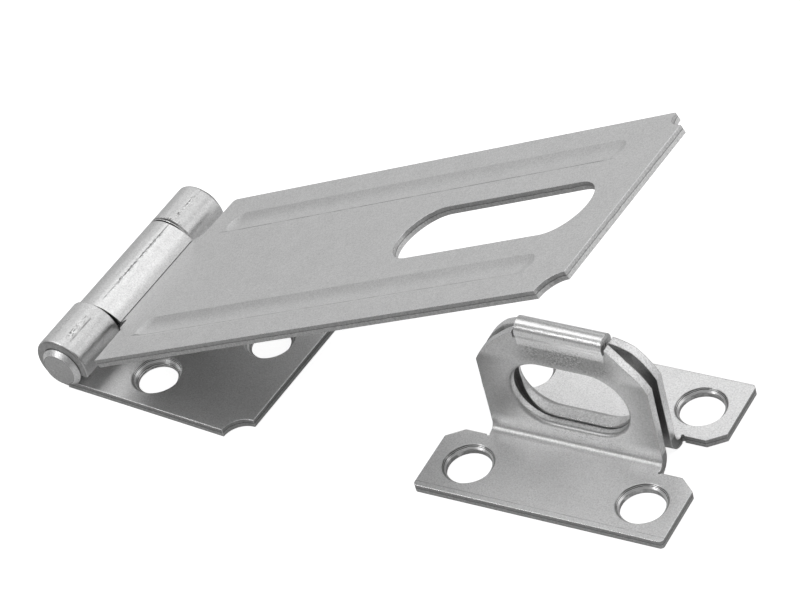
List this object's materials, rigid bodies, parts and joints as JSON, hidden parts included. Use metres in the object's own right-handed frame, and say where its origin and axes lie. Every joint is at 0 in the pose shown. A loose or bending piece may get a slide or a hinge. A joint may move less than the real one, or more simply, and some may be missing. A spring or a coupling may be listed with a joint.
{
  "type": "safety hasp",
  "caption": "Folded-sheet hasp: a slotted strap hinged to a fixed leaf closes over a staple that takes a padlock.",
  "frame": {"origin": "on the mounting surface, midway between the leaf's two side screw holes", "axes": "+X along the closed strap, from the hinge towards the staple; +Y along the hinge pin; +Z away from the mounting surface"},
  "size_m": [0.1078, 0.04, 0.0533],
  "materials": {
    "leaf_steel": "zinc plated, satin",
    "strap_steel": "zinc plated, satin",
    "pin_steel": "zinc plated, dull at the headed ends",
    "staple_steel": "zinc plated, satin with scuffs at the bends"
  },
  "bodies": {
    "base": {"base_leaf": "leaf_steel", "hinge_pin": "pin_steel", "staple": "staple_steel"},
    "strap": {"hasp_strap": "strap_steel"}
  },
  "joints": [
    {"name": "hasp_hinge", "type": "hinge", "parent": "base", "child": "strap", "pos_m": [-0.0127, 0, 0.00445], "axis": [0, -1, 0], "range_deg": [-26.3, 153.7]}
  ]
}
